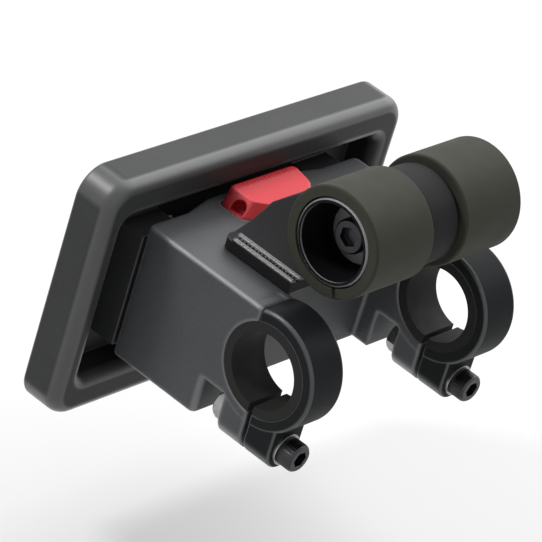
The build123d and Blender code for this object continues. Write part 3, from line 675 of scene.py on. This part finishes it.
class MOUNT_OT_arm(bpy.types.Operator):
    """Give the tube arm its black plastic and lay the fine ribs in its side grooves"""

    bl_idname = "mount.arm"
    bl_label = "Dress Tube Arm"

    def execute(self, context):
        finish = context.scene.mount_finish
        details = context.scene.mount_details
        _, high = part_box("tube_arm")
        inner = high.x - 2 * details.rail_inset
        middle = high.x - details.rail_inset
        front = high.y - details.rail_end_gap
        height = surface_height("tube_arm", middle, front)
        if height is None:
            raise RuntimeError("the groove of the tube arm isn't where the ribs go")
        grain_depth = finish.grain_depth * SMOOTH_GRAIN
        # Along the beads the base colour turns paler: a painted highlight under the coat
        black = plastic(
            "arm_plastic", finish.arm_colour, finish.grain_size, grain_depth,
            roughness=0.58, swing=0.05, wear_and_highlight_gain=3.0, gloss=0.06,
            shine=lambda tree, softness: self.rail_band(tree, inner, height), shine_roughness=0.32,
        )
        dress(black, "tube_arm")
        dull = plastic(
            "rib_plastic", finish.rib_colour, finish.grain_size, grain_depth,
            roughness=0.58, swing=0.05, wear_and_highlight_gain=1.5, gloss=0.06, shine=None,
        )
        pitch = details.rail_rib_pitch
        for side, name in ((-1, "rail_ribs_left"), (1, "rail_ribs_right")):
            x = side * middle
            count = 0
            while self.groove_goes_on(x, front - count * pitch, height):
                count += 1
            rib_row(
                name, "housing", "adapter", count=count, step=(0, -pitch, 0), along=(1, 0, 0),
                start=(x - details.rail_rib_length / 2, front, height), length=details.rail_rib_length,
                width=details.rail_rib_width, material=dull,
            )
        return {"FINISHED"}

    def rail_band(self, tree, inner, height):
        """Mask of the beads along both side edges, above the floor of the groove between them. It gives
        them a coat and paler base colour, a painted highlight.
        """
        place = add_node(tree, "ShaderNodeTexCoord")
        split = add_node(tree, "ShaderNodeSeparateXYZ")
        tree.links.new(place.outputs["Object"], split.inputs[0])
        sideways = math_node(tree, "ABSOLUTE", split.outputs["X"], 0.0)
        outside = math_node(tree, "GREATER_THAN", sideways, inner)
        above = math_node(tree, "GREATER_THAN", split.outputs["Z"], height + BEAD_FOOT)
        return math_node(tree, "MULTIPLY", outside, above)

    def groove_goes_on(self, x, y, height):
        """Whether the groove's floor is still there, at its height."""
        here = surface_height("tube_arm", x, y)
        return here is not None and abs(here - height) < LEVEL_MARGIN


class MOUNT_OT_plate(bpy.types.Operator):
    """Give the receiver plate its smooth black plastic"""

    bl_idname = "mount.plate"
    bl_label = "Dress Receiver Plate"

    def execute(self, context):
        finish = context.scene.mount_finish
        # The rim's rounded parts get a coat and a slightly paler base colour: a painted highlight along the
        # crest
        smooth = plastic(
            "plate_plastic", finish.plate_colour, finish.grain_size, finish.grain_depth * SMOOTH_GRAIN,
            roughness=0.45, swing=0.05, wear_and_highlight_gain=1.0, gloss=0.12, shine=all_rounding, shine_roughness=0.42,
        )
        dress(smooth, "receiver_plate")
        return {"FINISHED"}


class MOUNT_OT_button(bpy.types.Operator):
    """Give the button its red plastic and raise the grip ribs on its front lip"""

    bl_idname = "mount.button"
    bl_label = "Dress Release Button"

    def execute(self, context):
        finish = context.scene.mount_finish
        details = context.scene.mount_details
        red = plastic(
            "button_plastic", finish.button_colour,
            grain_size=0.3 * MILLIMETRE, grain_depth=0.012 * MILLIMETRE,
            roughness=0.44, swing=0.04, wear_and_highlight_gain=1.2, gloss=0.26,
        )
        dress(red, "release_button")
        _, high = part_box("release_button")
        pitch = details.grip_rib_pitch
        first = -pitch * (details.grip_rib_count - 1) / 2
        rear = high.y - details.grip_rib_setback - details.grip_rib_length / 2
        sunk = details.grip_rib_width * GRIP_RIB_SINK
        rib_row(
            "button_grip_ribs", "button", "button", count=details.grip_rib_count, step=(pitch, 0, 0),
            along=(0, 1, 0), start=(first, rear, high.z - sunk), length=details.grip_rib_length,
            width=details.grip_rib_width, material=red,
        )
        return {"FINISHED"}


class MOUNT_OT_latch(bpy.types.Operator):
    """Give the latch slide and its pins their finish and wind the return spring"""

    bl_idname = "mount.latch"
    bl_label = "Dress Latch"

    def execute(self, context):
        finish = context.scene.mount_finish
        grey = plastic(
            "latch_plastic", finish.latch_colour,
            grain_size=0.3 * MILLIMETRE, grain_depth=0.01 * MILLIMETRE, roughness=0.4, swing=0.05, wear_and_highlight_gain=1.6,
        )
        dress(grey, "latch_slide")
        steel = metal("spring_steel", finish.zinc_colour, roughness=0.3)
        dress(steel, "latch_pins")
        self.return_spring(context.scene.mount_details, steel)
        return {"FINISHED"}

    def return_spring(self, details, steel):
        """Coil spring under the button, wound in the place of the frame's spring and carried by the
        adapter.
        """
        low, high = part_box("button_spring")
        middle = (low + high) / 2
        length = high.z - low.z
        wire = details.spring_wire_radius
        spring = plain_object("return_spring", bpy.data.meshes.new("return_spring"))
        settle(spring, shared_group("Coil", build_coil), {
            "Turns": details.spring_turns, "Radius": (high.x - low.x) / 2 - wire, "Wire": wire,
            "Height": length - 2 * wire, "Place": (middle.x, middle.y, low.z + wire), "Material": steel,
        })
        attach(spring, "adapter")
        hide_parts("button_spring")
        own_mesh(spring)


class MOUNT_OT_rubber(bpy.types.Operator):
    """Give the clamp liners and the tube sleeves their matte rubber"""

    bl_idname = "mount.rubber"
    bl_label = "Dress Rubber Parts"

    def execute(self, context):
        finish = context.scene.mount_finish
        dress(rubber("sleeve_rubber", finish.sleeve_colour), "tube_sleeve_left", "tube_sleeve_right")
        dress(rubber("liner_rubber", finish.liner_colour), "clamp_liner_left", "clamp_liner_right")
        return {"FINISHED"}


class MOUNT_OT_tube(bpy.types.Operator):
    """Give the tube stubs their black anodised finish with a bare turned edge"""

    bl_idname = "mount.tube"
    bl_label = "Dress Accessory Tube"

    def execute(self, context):
        finish = context.scene.mount_finish
        end_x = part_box("tube_stub_right")[1].x
        turned = context.scene.mount_details.turned_edge
        black = anodised_tube("tube_anodised", finish.tube_colour, finish.bare_metal_colour, end_x, turned)
        dress(black, "tube_stub_left", "tube_stub_right")
        return {"FINISHED"}


class MOUNT_OT_fasteners(bpy.types.Operator):
    """Make the knurled bolts and chamfered nuts, and give the washers and inner screws their metal"""

    bl_idname = "mount.fasteners"
    bl_label = "Make Fasteners"

    def execute(self, context):
        finish = context.scene.mount_finish
        zinc = metal("zinc_steel", finish.zinc_colour, roughness=0.32)
        black = metal("black_steel", finish.black_steel_colour, roughness=0.35)
        # Washers deep in the tube: rough zinc whose darker colour is painted shade
        dull = metal("shaded_dull_steel", finish.shaded_dull_steel_colour, roughness=0.5)
        dress(zinc, "clamp_washers", "arm_screws")
        dress(dull, "tube_washers")
        details = context.scene.mount_details
        self.clamp_fasteners(details, zinc, black)
        self.tube_fasteners(details, zinc, black)
        return {"FINISHED"}

    def clamp_fasteners(self, details, zinc, black):
        """Knurled bolts and nuts under both clamps, along Y."""
        along_y = Matrix.Rotation(math.radians(-90), 3, "X")
        low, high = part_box("clamp_bolts")
        head_radius = (high.z - low.z) / 2
        places = [(side * (high.x - head_radius), 0, (low.z + high.z) / 2) for side in (-1, 1)]
        bolt = self.cap_bolt(
            "clamp_bolt", low.y, high.y, head_radius, details.clamp_head_height, details.clamp_shank_radius,
            details.knurl_depth, along_y,
        )
        fastener_set("clamp_bolts_knurled", bolt, places, black, "clamp_bolts")
        low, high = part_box("clamp_nuts")
        corner = (high.z - low.z) / 2 / math.cos(math.pi / 6)
        nut = self.nut("clamp_nut", low.y, high.y, corner, details.clamp_shank_radius, along_y)
        fastener_set("clamp_nuts_chamfered", nut, places, zinc, "clamp_nuts")

    def tube_fasteners(self, details, zinc, black):
        """Bolt through the tube and its nut, along X."""
        along_x = Matrix.Rotation(math.radians(90), 3, "Y")
        low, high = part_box("tube_bolt")
        middle = (low + high) / 2
        place = [(0, middle.y, middle.z)]
        bolt = self.cap_bolt(
            "tube_bolt_socket", low.x, high.x, (high.z - low.z) / 2, details.tube_head_height,
            details.tube_shank_radius, details.knurl_depth, along_x,
        )
        fastener_set("tube_bolt_knurled", bolt, place, black, "tube_bolt")
        low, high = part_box("tube_nut")
        corner = (high.y - low.y) / 2
        turn = along_x @ Matrix.Rotation(math.radians(30), 3, "Z")
        nut = self.nut("tube_nut_plain", low.x, high.x, corner, details.tube_shank_radius, turn)
        fastener_set("tube_nut_chamfered", nut, place, zinc, "tube_nut")

    def cap_bolt(self, name, low, high, head_radius, head_height, shank, knurl, turn):
        """Cap bolt with a knurled head, a hexagon socket and a chamfered tip."""
        edge = BOLT_EDGE * head_height
        rim = fluted(head_radius, knurl)
        smooth_rim = head_radius - knurl
        rings = [
            (low + head_height / 2, hexagon(shank)),
            (low, hexagon(shank)),
            (low, smooth_rim - edge),
            (low + edge, smooth_rim),
            (low + 2 * edge, rim),
            (low + head_height - edge, rim),
            (low + head_height, smooth_rim),
            (low + head_height, shank),
            (high - edge, shank),
            (high, shank - edge),
        ]
        return ring_solid(name, rings, turn)

    def nut(self, name, low, high, corner, bore, turn):
        """Hexagon nut with chamfered corners and a countersunk hole."""
        edge = NUT_EDGE * (high - low)
        cut = chamfered_hexagon(corner, corner * NUT_CHAMFER)
        rings = [
            (low, bore + edge / 2),
            (low, cut),
            (low + edge, hexagon(corner)),
            (high - edge, hexagon(corner)),
            (high, cut),
            (high, bore + edge / 2),
            (high - edge, bore),
            (low + edge, bore),
        ]
        return ring_solid(name, rings, turn, closed=True)


class MOUNT_OT_cover_screws(bpy.types.Operator):
    """Make the cross-head screws of the bottom cover"""

    bl_idname = "mount.cover_screws"
    bl_label = "Make Cover Screws"

    def execute(self, context):
        details = context.scene.mount_details
        low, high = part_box("cover_screws")
        radius = details.screw_head_radius
        xs = (low.x + radius, high.x - radius)
        ys = (low.y + radius, high.y - radius)
        places = [(x, y, 0) for x in xs for y in ys]
        mesh = self.cross_screw(low.z, high.z, details)
        zinc = bpy.data.materials["zinc_steel"]
        fastener_set("cover_screws_cross", mesh, places, zinc, "cover_screws")
        return {"FINISHED"}

    def cross_screw(self, low, high, details):
        """Pan-head screw, head down, with a cross recess."""
        radius = details.screw_head_radius
        height = details.screw_head_height
        shank = details.screw_shank_radius
        arm = 0.62 * radius
        half_slot = 0.2 * radius
        least = 0.05

        def cross(angle):
            """Outline of the cross recess by angle."""
            across = abs(math.sin(2 * angle)) / 2
            return min(arm, half_slot / max(across, least))

        # From the bottom of the recess over the head to the tip, as shares of the head's height and radius
        rings = [
            (low + 0.7 * height, 0.15 * radius),
            (low + 0.45 * height, lambda angle: cross(angle) * 0.7),
            (low, cross),
            (low, 0.72 * radius),
            (low + 0.08 * height, 0.86 * radius),
            (low + 0.3 * height, 0.97 * radius),
            (low + 0.55 * height, radius),
            (low + height, radius),
            (low + height, shank),
            (high - shank, shank),
            (high, 0.2 * shank),
        ]
        return ring_solid("cover_screw", rings, Matrix.Identity(3))


# Viewing direction of the photograph, as the camera's own axes in the frame of the mount
CAMERA_RIGHT = Vector((0.656, -0.709, 0.259))
CAMERA_BACK = Vector((-0.718, -0.480, 0.505))

# Distance of the lamps, in lengths of the mount's diagonal
LAMP_REACH = 4


def add_lamp(name, direction, width, power):
    """Round soft lamp that looks at the middle of the mount. Its width is a share of its distance."""
    middle = (cad_low + cad_high) / 2
    distance = (cad_high - cad_low).length * LAMP_REACH
    data = bpy.data.lights.new(name, "AREA")
    data.shape = "DISK"
    data.size = distance * width
    data.energy = power
    lamp = plain_object(name, data)
    away = Vector(direction)
    turn = away.to_track_quat("Z", "Y").to_matrix().to_4x4()
    lamp.matrix_world = Matrix.Translation(middle + away.normalized() * distance) @ turn


def background_rays(tree):
    """Mask of the rays that should see a white background: camera, glossy and transmission rays."""
    path = add_node(tree, "ShaderNodeLightPath")
    seen = math_node(tree, "MAXIMUM", path.outputs["Is Camera Ray"], path.outputs["Is Glossy Ray"])
    return math_node(tree, "MAXIMUM", seen, path.outputs["Is Transmission Ray"])


class MOUNT_OT_stage(bpy.types.Operator):
    """Build the pale floor, the soft lamps and the camera"""

    bl_idname = "mount.stage"
    bl_label = "Build Stage"

    def execute(self, context):
        stage = context.scene.mount_stage
        self.build_floor(stage)
        self.build_world(context.scene, stage)
        add_lamp("key_lamp", direction=(0.62, 0.05, 0.78), width=1.6, power=stage.key_power)
        add_lamp("edge_lamp", direction=(-0.5, 0.48, 0.72), width=0.24, power=stage.edge_power)
        add_lamp("fill_lamp", direction=(-0.6, -0.8, 0.35), width=1.0, power=stage.fill_power)
        self.build_camera(context.scene, stage)
        return {"FINISHED"}

    def build_floor(self, stage):
        """Pale floor that keeps the mount's shadow and turns white further out."""
        shape = bmesh.new()
        bmesh.ops.create_grid(shape, x_segments=1, y_segments=1, size=stage.floor_size / 2)
        mesh = bpy.data.meshes.new("floor")
        shape.to_mesh(mesh)
        shape.free()
        mesh.transform(Matrix.Translation((0, 0, cad_low.z - stage.floor_drop)))
        material, tree, shader = new_material("floor_white")
        shader.inputs["Base Color"].default_value = (0.9, 0.9, 0.9, 1.0)
        shader.inputs["Roughness"].default_value = 0.9
        shader.inputs["Specular IOR Level"].default_value = 0.0
        glow = add_node(tree, "ShaderNodeEmission", inputs={"Strength": 1.0})
        place = add_node(tree, "ShaderNodeTexCoord")
        distance = add_node(tree, "ShaderNodeVectorMath", operation="LENGTH")
        tree.links.new(place.outputs["Object"], distance.inputs[0])
        fade = ramp(
            tree, distance.outputs["Value"], low=120 * MILLIMETRE, high=450 * MILLIMETRE, start=0.45,
            interpolation_type="SMOOTHSTEP",
        )
        mix = add_node(tree, "ShaderNodeMixShader")
        share = math_node(tree, "MULTIPLY", background_rays(tree), fade)
        tree.links.new(share, mix.inputs["Fac"])
        tree.links.new(shader.outputs[0], mix.inputs[1])
        tree.links.new(glow.outputs[0], mix.inputs[2])
        tree.links.new(mix.outputs[0], tree.nodes["Material Output"].inputs["Surface"])
        mesh.materials.append(material)
        plain_object("floor", mesh)

    def build_world(self, scene, stage):
        """Weak even light, with a white sky for the rays that see the background."""
        world = bpy.data.worlds.new("studio")
        world.use_nodes = True
        tree = world.node_tree
        sky = tree.nodes["Background"]
        sky.inputs["Color"].default_value = (1.0, 1.0, 1.0, 1.0)
        strength = ramp(tree, background_rays(tree), low=0.0, high=1.0, start=stage.world_strength)
        tree.links.new(strength, sky.inputs["Strength"])
        scene.world = world
        scene.view_settings.view_transform = "Standard"

    def build_camera(self, scene, stage):
        """Camera with the photograph's viewing direction, framed on the mount."""
        back = CAMERA_BACK.normalized()
        right = (CAMERA_RIGHT - CAMERA_RIGHT.project(back)).normalized()
        up = back.cross(right)
        points = [vertex.co for node in nodes.values() for vertex in node.data.vertices]
        ranges = []
        for axis in (right, up, back):
            along = [point.dot(axis) for point in points]
            ranges.append((min(along), max(along)))
        half = max(high - low for low, high in ranges[:2]) / 2
        aim = [(low + high) / 2 for low, high in ranges]
        data = bpy.data.cameras.new("camera")
        data.sensor_width = 36.0
        data.lens = data.sensor_width / 2 * stage.camera_distance / half * stage.frame_fill
        camera = plain_object("camera", data)
        place = right * aim[0] + up * aim[1] + back * (aim[2] + stage.camera_distance)
        camera.matrix_world = Matrix.Translation(place) @ Matrix((right, up, back)).transposed().to_4x4()
        scene.camera = camera


class MOUNT_PT_panel(bpy.types.Panel):
    """Lists the steps that dress the mount"""

    bl_label = "Bar Mount"
    bl_idname = "MOUNT_PT_panel"
    bl_space_type = "VIEW_3D"
    bl_region_type = "UI"
    bl_category = "Bar Mount"

    def draw(self, context):
        for step in STEPS:
            self.layout.operator(step.bl_idname)


STEPS = (
    MOUNT_OT_housing,
    MOUNT_OT_arm,
    MOUNT_OT_plate,
    MOUNT_OT_button,
    MOUNT_OT_latch,
    MOUNT_OT_rubber,
    MOUNT_OT_tube,
    MOUNT_OT_fasteners,
    MOUNT_OT_cover_screws,
    MOUNT_OT_stage,
)
GROUPS = {"mount_finish": MountFinish, "mount_details": MountDetails, "mount_stage": MountStage}


def register():
    for name, group in GROUPS.items():
        bpy.utils.register_class(group)
        setattr(bpy.types.Scene, name, PointerProperty(type=group))
    for step in STEPS:
        bpy.utils.register_class(step)
    bpy.utils.register_class(MOUNT_PT_panel)


def unregister():
    bpy.utils.unregister_class(MOUNT_PT_panel)
    for step in reversed(STEPS):
        bpy.utils.unregister_class(step)
    for name, group in GROUPS.items():
        delattr(bpy.types.Scene, name)
        bpy.utils.unregister_class(group)


def main():
    register()
    for step in STEPS:
        area, name = step.bl_idname.split(".")
        getattr(getattr(bpy.ops, area), name)()


if __name__ == "__main__":
    main()
